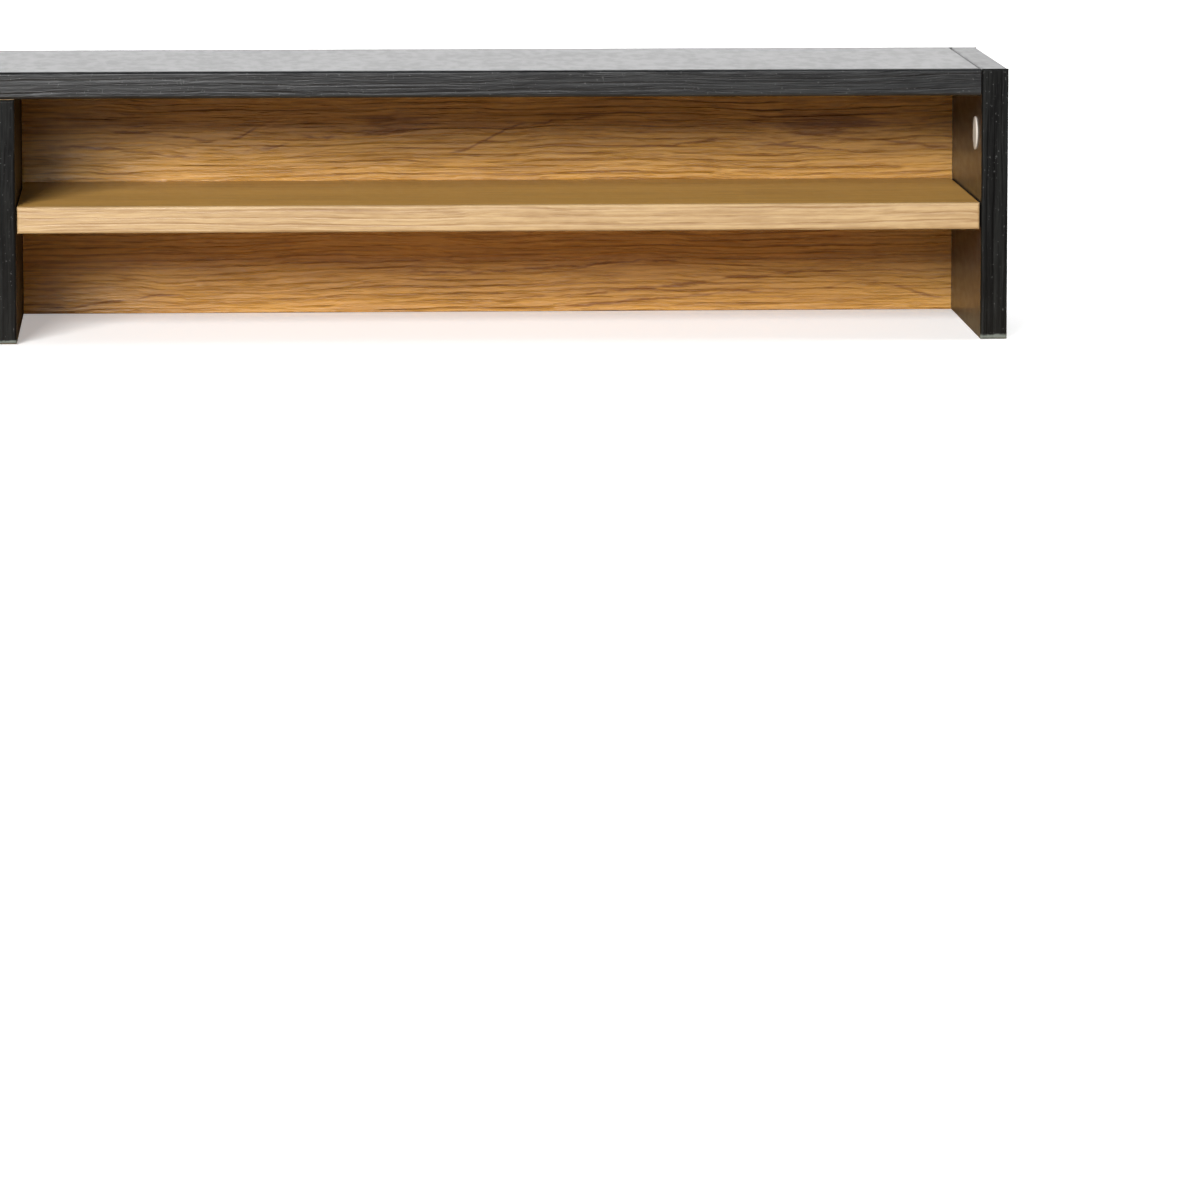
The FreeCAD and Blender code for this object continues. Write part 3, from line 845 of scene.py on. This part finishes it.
@dataclass
class Board:
    """One melamine board, made from its CAD node with its bores.

    Attributes:
        node: The CAD node.
        decor: Finish of the two large faces.
        core: Finish of bare edges and bores.
        arris: Width of the finish of its outer edges.
        play: Gap left at each end.
        profile: Shape of its outer edges, 0.5 for round, 0 for a square rebate.
    """

    node: str
    decor: Decor
    core: Material
    arris: float = 0.4 * MM
    play: float = 0.0
    profile: float = 0.5

    def build(self) -> Object:
        """Make the board.

        Faces on the two large outer planes take the decor and all others the core. Edges that lie
        on two outer planes are rounded or rebated. The ends move inwards by the play.

        Returns:
            The board.
        """
        mesh = merged_copy(self.node)
        low, high = (np.array(corner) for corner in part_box(self.node))
        thin, long = int(np.argmin(high - low)), int(np.argmax(high - low))
        points = read_array(mesh.vertices, "co", 3)
        on_plane = np.concatenate([np.abs(points - low) < TOUCHING, np.abs(points - high) < TOUCHING], axis=1)
        ends = read_array(mesh.edges, "vertices", 2, int)
        shared = (on_plane[ends[:, 0]] & on_plane[ends[:, 1]]).sum(axis=1)
        weights = mesh.attributes.new("bevel_weight_edge", "FLOAT", "EDGE")
        weights.data.foreach_set("value", (shared >= 2).astype(float))
        level = read_array(mesh.polygons, "center", 3)[:, thin]
        outer = (np.abs(level - low[thin]) < TOUCHING) | (np.abs(level - high[thin]) < TOUCHING)
        points[on_plane[:, long], long] += self.play
        points[on_plane[:, 3 + long], long] -= self.play
        mesh.vertices.foreach_set("co", points.ravel())
        mesh.materials.clear()
        mesh.materials.append(self.decor.material())
        mesh.materials.append(self.core)
        mesh.polygons.foreach_set("material_index", np.where(outer, 0, 1))
        mesh.set_sharp_from_angle(angle=math.radians(SHARP_DEGREES))
        piece = add_piece(self.node + "_board", mesh, self.decor.slot, self.node)
        finish_edges(piece, self.arris, self.profile)
        shade_flat_faces(piece)
        return piece


@dataclass
class EdgeBand:
    """One edge band: a thin strip with a rounded outer face.

    Attributes:
        node: The CAD node.
        decor: Its finish.
        facing: Side that its outer face looks towards.
        ends: Finish of its two ends.
        radius: Rounding of the outer edges.
        steps: Grid lines in each rounding.
        play: Gap left at each end.
    """

    node: str
    decor: Decor
    facing: Facing
    ends: Edge
    radius: float = 1.5 * MM
    steps: int = 7
    play: float = 0.0

    def fall(self, inset: np.ndarray) -> np.ndarray:
        """How far a quarter-round edge falls below the face: r - sqrt(r^2 - (r - inset)^2)."""
        short = np.clip(self.radius - inset, 0.0, self.radius)
        return self.radius - np.sqrt(self.radius ** 2 - short ** 2)

    def lines(self, length: float) -> np.ndarray:
        """Space grid lines across a side, close together in the roundings at both ends.

        Args:
            length: Length of the side in metres.

        Returns:
            Distances from the side's start: r - r cos of equal angle steps, and their mirror.
        """
        angle = np.linspace(0.0, math.pi / 2, self.steps)
        near = self.radius * (1 - np.cos(angle))
        return np.concatenate([near, length - near[::-1]])

    def build(self) -> Object:
        """Make the band.

        The outer face is a height over a grid of (length, width): the larger of the falls towards
        the long edges and towards free ends. The grid's rim is joined to a flat back.

        Returns:
            The band.
        """
        outwards, sign = self.facing.value
        low, high = (np.array(corner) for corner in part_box(self.node))
        sides = [axis for axis in range(3) if axis != outwards]
        along, across = sorted(sides, key=lambda axis: low[axis] - high[axis])
        low[along] += self.play
        high[along] -= self.play
        run_lines = self.lines(high[along] - low[along])
        width_lines = self.lines(high[across] - low[across])
        run, width = np.meshgrid(run_lines, width_lines, indexing="ij")
        fall = self.fall(np.minimum(width, width_lines[-1] - width))
        if self.ends is Edge.FREE:
            fall = np.maximum(fall, self.fall(np.minimum(run, run_lines[-1] - run)))
        face, back = (high, low) if sign > 0 else (low, high)
        grid = np.empty((*run.shape, 3))
        grid[..., along] = low[along] + run
        grid[..., across] = low[across] + width
        grid[..., outwards] = face[outwards] - sign * fall
        flat = grid.copy()
        flat[..., outwards] = back[outwards]
        points, faces = closed_slab(grid, flat)
        mesh = closed_mesh(self.node + "_mesh", points, faces.tolist(), SHARP_DEGREES, self.decor.material())
        piece = add_piece(self.node + "_strip", mesh, self.decor.slot, self.node)
        shade_flat_faces(piece)
        return piece


@dataclass
class CoverCaps:
    """Round press-on caps over bores, one piece for each CAD node.

    Attributes:
        node: The CAD node, a group of equal caps.
        facing: Side that the caps look towards.
        material: Their finish.
        radius: Outer radius.
        height: How far they stand proud.
        rim: Rounding of their rim.
        dome: Rise of their middle over the rim.
        around: Points round each cap.
        sharp: Angle in degrees above which an edge is sharp.
    """

    node: str
    facing: Facing
    material: Material
    radius: float = 10.0 * MM
    height: float = 1.0 * MM
    rim: float = 0.45 * MM
    dome: float = 0.12 * MM
    around: int = 72
    sharp: float = 50

    def centres(self) -> np.ndarray:
        """Find the middle of each cap's back from the separate solids of the CAD node.

        Returns:
            One point for each cap.
        """
        axis, sign = self.facing.value
        points = read_array(frame["nodes"][self.node].data.vertices, "co", 3)
        level = points[:, axis].min() if sign > 0 else points[:, axis].max()
        left = points[np.abs(points[:, axis] - level) < TOUCHING]
        found = []
        while len(left):
            near = np.linalg.norm(left - left[0], axis=1) < 2.2 * self.radius
            found.append((left[near].min(axis=0) + left[near].max(axis=0)) / 2)
            left = left[~near]
        return np.array(found)

    def profile(self) -> np.ndarray:
        """Draw half a section from the pole to the back.

        The dome falls with the square of the distance from the middle. A quarter round and a
        straight wall follow it.

        Returns:
            Points as (distance from the middle, height).
        """
        flat = np.linspace(0.0, self.radius - self.rim, 9)
        top = self.height - self.dome * (flat / flat[-1]) ** 2
        angle = np.linspace(0.0, math.pi / 2, 7)[1:]
        edge = np.stack([flat[-1] + self.rim * np.sin(angle),
                         top[-1] - self.rim * (1 - np.cos(angle))], axis=1)
        return np.concatenate([np.stack([flat, top], axis=1), edge, [[self.radius, 0.0], [0.0, 0.0]]])

    def build(self) -> Object:
        """Make the caps: the half section carried round each cap's own axis.

        Returns:
            The piece.
        """
        axis, sign = self.facing.value
        plane = [other for other in range(3) if other != axis]
        section = self.profile()
        angle = np.linspace(0.0, 2 * math.pi, self.around, endpoint=False)
        rings = section[1:-1]
        round_points = np.zeros((len(rings), self.around, 3))
        round_points[..., plane[0]] = rings[:, :1] * np.cos(angle)
        round_points[..., plane[1]] = rings[:, :1] * np.sin(angle)
        round_points[..., axis] = sign * rings[:, 1:]
        poles = np.zeros((2, 3))
        poles[0, axis] = sign * section[0, 1]
        cap = np.concatenate([round_points.reshape(-1, 3), poles])
        pole = len(rings) * self.around
        index = np.arange(pole).reshape(len(rings), self.around)
        step = np.roll(index, -1, axis=1)
        quads = np.stack([index[:-1].ravel(), step[:-1].ravel(), step[1:].ravel(), index[1:].ravel()], axis=1)
        top = np.stack([step[0], index[0], np.full(self.around, pole)], axis=1)
        base = np.stack([index[-1], step[-1], np.full(self.around, pole + 1)], axis=1)
        points, faces = [], []
        for number, centre in enumerate(self.centres()):
            points.append(cap + centre)
            for group in (quads, top, base):
                faces += (group + number * len(cap)).tolist()
        mesh = closed_mesh(self.node + "_mesh", np.concatenate(points), faces, self.sharp, self.material)
        return add_piece(self.node + "_domed", mesh, "cap_plastic", self.node)


# ---- the hutch

OAK = Decor("oak", "oak_board", (0.68, 0.355, 0.066), (0.27, 0.105, 0.010), lines=0.42, fibre=0.34,
            mottle=0.1, cloud=0.12, roughness=0.42, relief=0.8 * MM, specular=0.9, stretch=0.8)
# Shelf oak: fainter figure, and a paler, greyer ground colour that is a painted reflection of the bright back
# panel in the shelf tops.
OAK_SHELF = replace(OAK, light=(0.64, 0.36, 0.092), dark=(0.27, 0.125, 0.030), lines=0.2, fibre=0.25,
                    mottle=0.06, relief=0.03 * MM)
OAK_BAND = Decor("oak_band", "oak_edge_band", (0.39, 0.272, 0.14), (0.21, 0.12, 0.05), lines=0.35,
                 mottle=0.2, cloud=0.1, roughness=0.34, stretch=0.6)
BLACK = Decor("black", "black_board", (0.019, 0.020, 0.0205), (0.005, 0.005, 0.0055), lines=0.2, fibre=0.6,
              roughness=0.31, relief=0.04 * MM, stretch=0.35)
BLACK_UPRIGHT = replace(BLACK, grain=Grain.ALONG_Z, relief=0.02 * MM)
BLACK_BAND = replace(BLACK, slot="black_edge_band", lines=0.25, fibre=0.7, specks=0.3, roughness=0.33,
                     relief=0.22 * MM, specular=0.4, stretch=0.5)
# Same black band print as the top board's, made darker for the upright fronts: painted shade standing in for
# the overhead light that upright grain does not mirror.
UPRIGHT_BAND = replace(BLACK_BAND, light=(0.0105, 0.011, 0.0105), dark=(0.003, 0.003, 0.003),
                       grain=Grain.ALONG_Z, specular=0.12, foot=3.6 * MM)
DEEP_BAND = replace(BLACK_BAND, grain=Grain.ALONG_Y, relief=0.03 * MM, roughness=0.44)


@dataclass
class Carcass:
    """The seven boards.

    Attributes:
        core: Finish of bare chipboard.
        shelf_play: Gap at each end of the shelves.
        top_play: Gap at each end of the top board.
        rebate: Width of the shadow line round the top board.
    """

    core: Material = field(default_factory=lambda: Chipboard().material())
    shelf_play: float = 1.0 * MM
    top_play: float = 0.1 * MM
    rebate: float = 1.6 * MM

    def back_decor(self) -> Decor:
        """Arrange the back panel's single growth lines and dark patches.

        Returns:
            The back panel's finish.
        """
        strokes = (
            Stroke(0.128, 0.1065, 0.171, 0.1195), Stroke(0.060, 0.113, 0.135, 0.1065),
            Stroke(0.140, 0.100, 0.178, 0.104), Stroke(0.176, 0.1105, 0.214, 0.1085, 0.0016, 0.8),
            Stroke(0.205, 0.1085, 0.250, 0.1115, 0.0016, 0.8),
            Stroke(0.268, 0.0985, 0.326, 0.118, 0.0015, 0.85),
            Stroke(0.314, 0.1165, 0.366, 0.1205, 0.0015, 0.8), Stroke(0.380, 0.102, 0.444, 0.106),
            Stroke(0.462, 0.101, 0.492, 0.106), Stroke(0.455, 0.104, 0.530, 0.099),
            Stroke(0.530, 0.106, 0.584, 0.101), Stroke(0.020, 0.104, 0.120, 0.097),
            Stroke(0.300, 0.008, 0.520, 0.024), Stroke(0.340, 0.004, 0.470, 0.012),
            Stroke(0.500, 0.012, 0.526, 0.019), Stroke(0.522, 0.018, 0.584, 0.008),
            Stroke(0.014, 0.003, 0.110, 0.012), Stroke(0.240, 0.024, 0.420, 0.031),
        )
        smudges = (
            Smudge(0.241, 0.118, 0.030, 0.007, 0.5), Smudge(0.502, 0.115, 0.044, 0.011, 0.6),
            Smudge(0.352, 0.1225, 0.030, 0.004, 0.4), Smudge(0.062, 0.120, 0.035, 0.006, 0.3),
            Smudge(-0.31, 0.112, 0.05, 0.01), Smudge(-0.12, 0.03, 0.04, 0.008, 0.4),
        )
        return OAK.named("oak_back", strokes=strokes, smudges=smudges, heart=(0.45, 0.08, -0.05))

    def boards(self) -> list[Board]:
        """List the boards with their finishes."""
        divider = BLACK_UPRIGHT.named("black_divider", (0.9, 0.1, 0.7), roughness=0.5, specular=0.15)
        return [
            Board("back_panel", self.back_decor(), self.core),
            Board("shelf_right", OAK_SHELF.named("oak_shelf_right", (0.3, 0.1, 0.0)), self.core,
                  play=self.shelf_play),
            Board("shelf_left", OAK_SHELF.named("oak_shelf_left", (1.7, 0.4, 0.0)), self.core,
                  play=self.shelf_play),
            Board("top_board", BLACK.named("black_top", roughness=0.42), self.core, self.rebate,
                  self.top_play, profile=0.0),
            Board("end_panel_right", BLACK_UPRIGHT.named("black_end_right", (0.0, 0.3, 0.2)), self.core),
            Board("end_panel_left", BLACK_UPRIGHT.named("black_end_left", (0.5, 0.9, 0.4)), self.core),
            Board("centre_divider", divider, self.core),
        ]

    def build(self) -> None:
        """Make every board."""
        for board in self.boards():
            board.build()


@dataclass
class EdgeBanding:
    """The eleven edge bands.

    Attributes:
        shelf_play: Gap at each end of the shelf bands.
        top_play: Gap at each end of the top board's front band.
        divider_play: Gap at each end of the divider's band.
        top_radius: Rounding of the top board's front band.
    """

    shelf_play: float = 0.8 * MM
    top_play: float = 0.5 * MM
    divider_play: float = 0.35 * MM
    top_radius: float = 1.9 * MM

    def side_bands(self, side: str, shift: Triple) -> list[EdgeBand]:
        """List the bands of one end panel and its shelf.

        Args:
            side: "left" or "right".
            shift: Offset of their pattern in metres.

        Returns:
            The bands.
        """
        panel = f"end_panel_{side}"
        return [
            EdgeBand(panel + "_front_band", UPRIGHT_BAND.named(f"band_front_{side}", shift), Facing.FRONT,
                     Edge.FREE),
            EdgeBand(panel + "_rear_band", UPRIGHT_BAND.named(f"band_rear_{side}", shift), Facing.REAR,
                     Edge.FREE),
            EdgeBand(panel + "_top_band", DEEP_BAND.named(f"band_top_{side}", shift), Facing.UP, Edge.BUTTED),
            EdgeBand(f"shelf_{side}_front_band", OAK_BAND.named(f"band_shelf_{side}", shift), Facing.FRONT,
                     Edge.FREE, play=self.shelf_play),
        ]

    def bands(self) -> list[EdgeBand]:
        """List the bands of both sides, of the top board and of the divider."""
        return [
            *self.side_bands("left", (0.0, 0.17, 0.23)),
            *self.side_bands("right", (0.31, 0.17, 0.23)),
            EdgeBand("top_board_front_band", BLACK_BAND.named("band_top_front"), Facing.FRONT, Edge.BUTTED,
                     self.top_radius, play=self.top_play),
            EdgeBand("top_board_rear_band", BLACK_BAND.named("band_top_rear"), Facing.REAR, Edge.BUTTED),
            EdgeBand("divider_front_band", UPRIGHT_BAND.named("band_divider", (0.4, 0.8, 0.6)),
                     Facing.FRONT, Edge.FREE, play=self.divider_play),
        ]

    def build(self) -> None:
        """Make every band."""
        for band in self.bands():
            band.build()


@dataclass
class Fittings:
    """Cover caps, and the metal and wooden fittings that keep their CAD shape."""

    cap_colour: Colour = (0.47, 0.43, 0.38)

    def caps(self) -> None:
        """Make the cover caps."""
        plastic = Moulded("cap_plastic", self.cap_colour).material()
        for node, facing in (("top_board_cam_caps", Facing.DOWN), ("shelf_left_cam_caps", Facing.DOWN),
                             ("shelf_right_cam_caps", Facing.DOWN), ("divider_cam_caps", Facing.LEFT),
                             ("link_bore_cap_left", Facing.RIGHT), ("link_bore_cap_right", Facing.LEFT)):
            CoverCaps(node, facing, plastic).build()

    def hardware(self) -> None:
        """Dress the cams, bolts, screws, inserts and dowels."""
        finishes = {
            "cam_zinc": Metal("cast_zinc", (0.62, 0.62, 0.61), 0.42).material(),
            "fitting_steel": Metal("plated_steel", (0.66, 0.66, 0.64), 0.3, (1.0, 0.2, 1.0)).material(),
            "insert_brass": Metal("turned_brass", (0.75, 0.56, 0.27), 0.32).material(),
            "dowel_beech": Decor("beech", "dowel_beech", (0.62, 0.45, 0.28), (0.42, 0.27, 0.14),
                                 lines=0.2, roughness=0.6).material(),
        }
        for part in frame["record"]["subparts"]:
            if part["material_slot"] in finishes:
                for slot in frame["nodes"][part["node"]].material_slots:
                    slot.material = finishes[part["material_slot"]]
                log.info("%s: dressed", part["node"])

    def build(self) -> None:
        """Make the caps and dress the hardware."""
        self.caps()
        self.hardware()


# ---- studio

@dataclass(frozen=True)
class Lamp:
    """A soft rectangular light.

    Attributes:
        name: The light's name.
        place: Its middle.
        aim: The point that it faces.
        size: Width and height.
        power: Power in watts.
        lights: Whether it lights surfaces.
        mirrored: Whether glossy surfaces mirror it.
    """

    name: str
    place: Triple
    aim: Triple
    size: tuple[float, float]
    power: float
    lights: bool = True
    mirrored: bool = False

    def build(self) -> None:
        """Add the light to the scene."""
        light = bpy.data.lights.new(self.name, "AREA")
        light.shape = "RECTANGLE"
        light.size, light.size_y = self.size
        light.energy = self.power
        holder = add_object(self.name, light)
        holder.location = self.place
        facing = Vector(self.aim) - Vector(self.place)
        holder.rotation_euler = facing.to_track_quat("-Z", "Y").to_euler()
        holder.visible_diffuse = self.lights
        holder.visible_glossy = self.mirrored


@dataclass
class Studio:
    """Pale floor, soft lights and the camera.

    Attributes:
        eye: The camera's place.
        heading: Turn of the view from +Y towards +X, in degrees.
        dip: Tilt of the view below the horizon, in degrees.
        lens: Focal length in millimetres, on a 36 mm sensor.
        air: Brightness of the surroundings.
        floor_reach: Half the floor's width.
        floor_level: Height of the floor in metres, a hair below the hutch.
        lamps: The lights.
    """

    eye: Triple = (0.1204, -4.5439, 0.4776)
    heading: float = 3.028
    dip: float = 8.10
    lens: float = 224.63
    air: float = 0.045
    floor_reach: float = 8.0
    floor_level: float = -0.2 * MM
    lamps: tuple[Lamp, ...] = (
        Lamp("key", (-1.5, -5.0, 1.9), (0.1, 0.0, 0.08), (2.0, 1.8), 600.0),
        Lamp("fill", (0.17, -5.0, 1.75), (0.17, 0.0, 0.08), (0.42, 1.5), 32.0),
        Lamp("sheen", (-0.9, -5.0, 1.65), (0.1, 0.0, 0.08), (2.0, 1.5), 235.0, lights=False, mirrored=True),
        Lamp("wall", (0.0, 4.0, 2.0), (0.0, 0.0, 2.0), (10.0, 4.0), 305.0, lights=False, mirrored=True),
        Lamp("rear", (0.0, 4.5, 1.6), (0.0, 0.0, 0.1), (4.0, 2.0), 90.0),
        Lamp("right", (5.0, 0.6, 1.6), (0.6, 0.0, 0.1), (3.0, 2.4), 320.0),
        Lamp("left", (-5.0, 0.9, 1.6), (-0.6, 0.0, 0.1), (3.0, 2.4), 240.0),
    )

    def floor_material(self) -> Material:
        """Build the floor's finish.

        The camera sees it near white. It throws light back into the bays only from near the hutch,
        as a wooden desk top would. From below it is clear, so that the underside can be seen.

        Returns:
            The new material.
        """
        material, shader, principled, place = start_material("pale_floor")
        seen = shader.add("LightPath").outputs["Is Camera Ray"]
        behind = shader.add("NewGeometry").outputs["Backfacing"]
        away = shader.vector("LENGTH", shader.vector("MULTIPLY", place, (1.3, 2.2, 0.0)))
        bounce = shader.blend(shader.ramp(away, 0.85, 1.15), (0.52, 0.38, 0.21), (0.07, 0.065, 0.06))
        pale = shader.blend(shader.noise(place, 3.0), (0.86, 0.86, 0.855), (0.84, 0.84, 0.835))
        shader.fill(principled, {
            "Base Color": shader.blend(seen, bounce, pale), "Roughness": 0.7,
            "Alpha": shader.minus(1.0, behind), "Emission Color": (1.0, 1.0, 1.0, 1.0),
            "Emission Strength": shader.times(seen, 0.32)})
        return material

    def floor(self) -> None:
        """Lay a wide pale floor under the hutch."""
        reach, level = self.floor_reach, self.floor_level
        sides = ((-1, -1), (1, -1), (1, 1), (-1, 1))
        corners = [(across * reach, along * reach, level) for across, along in sides]
        mesh = bpy.data.meshes.new("floor_mesh")
        mesh.from_pydata(corners, [], [(0, 1, 2, 3)])
        mesh.materials.append(self.floor_material())
        add_object("floor", mesh)

    def camera(self) -> None:
        """Add the camera, a long lens looking slightly down."""
        data = bpy.data.cameras.new("camera")
        data.lens = self.lens
        data.sensor_width = 36.0
        data.clip_end = 100.0
        holder = add_object("camera", data)
        holder.location = self.eye
        holder.rotation_euler = (math.radians(90.0 - self.dip), 0.0, math.radians(-self.heading))
        bpy.context.scene.camera = holder

    def surroundings(self) -> None:
        """Fill the room with a faint even white light."""
        world = bpy.data.worlds.new("studio")
        world.use_nodes = True
        background = world.node_tree.nodes["Background"]
        Shader(world.node_tree).fill(background, {"Color": (1.0, 1.0, 1.0, 1.0), "Strength": self.air})
        bpy.context.scene.world = world
        bpy.context.scene.view_settings.view_transform = "Standard"

    def build(self) -> None:
        """Set up the whole studio."""
        self.surroundings()
        self.floor()
        for lamp in self.lamps:
            lamp.build()
        self.camera()


def main() -> None:
    """Build the hutch's looks and the studio."""
    logging.basicConfig(level=logging.INFO, format="%(name)s: %(message)s")
    for assembly in (Carcass(), EdgeBanding(), Fittings(), Studio()):
        assembly.build()


if __name__ == "__main__":
    main()
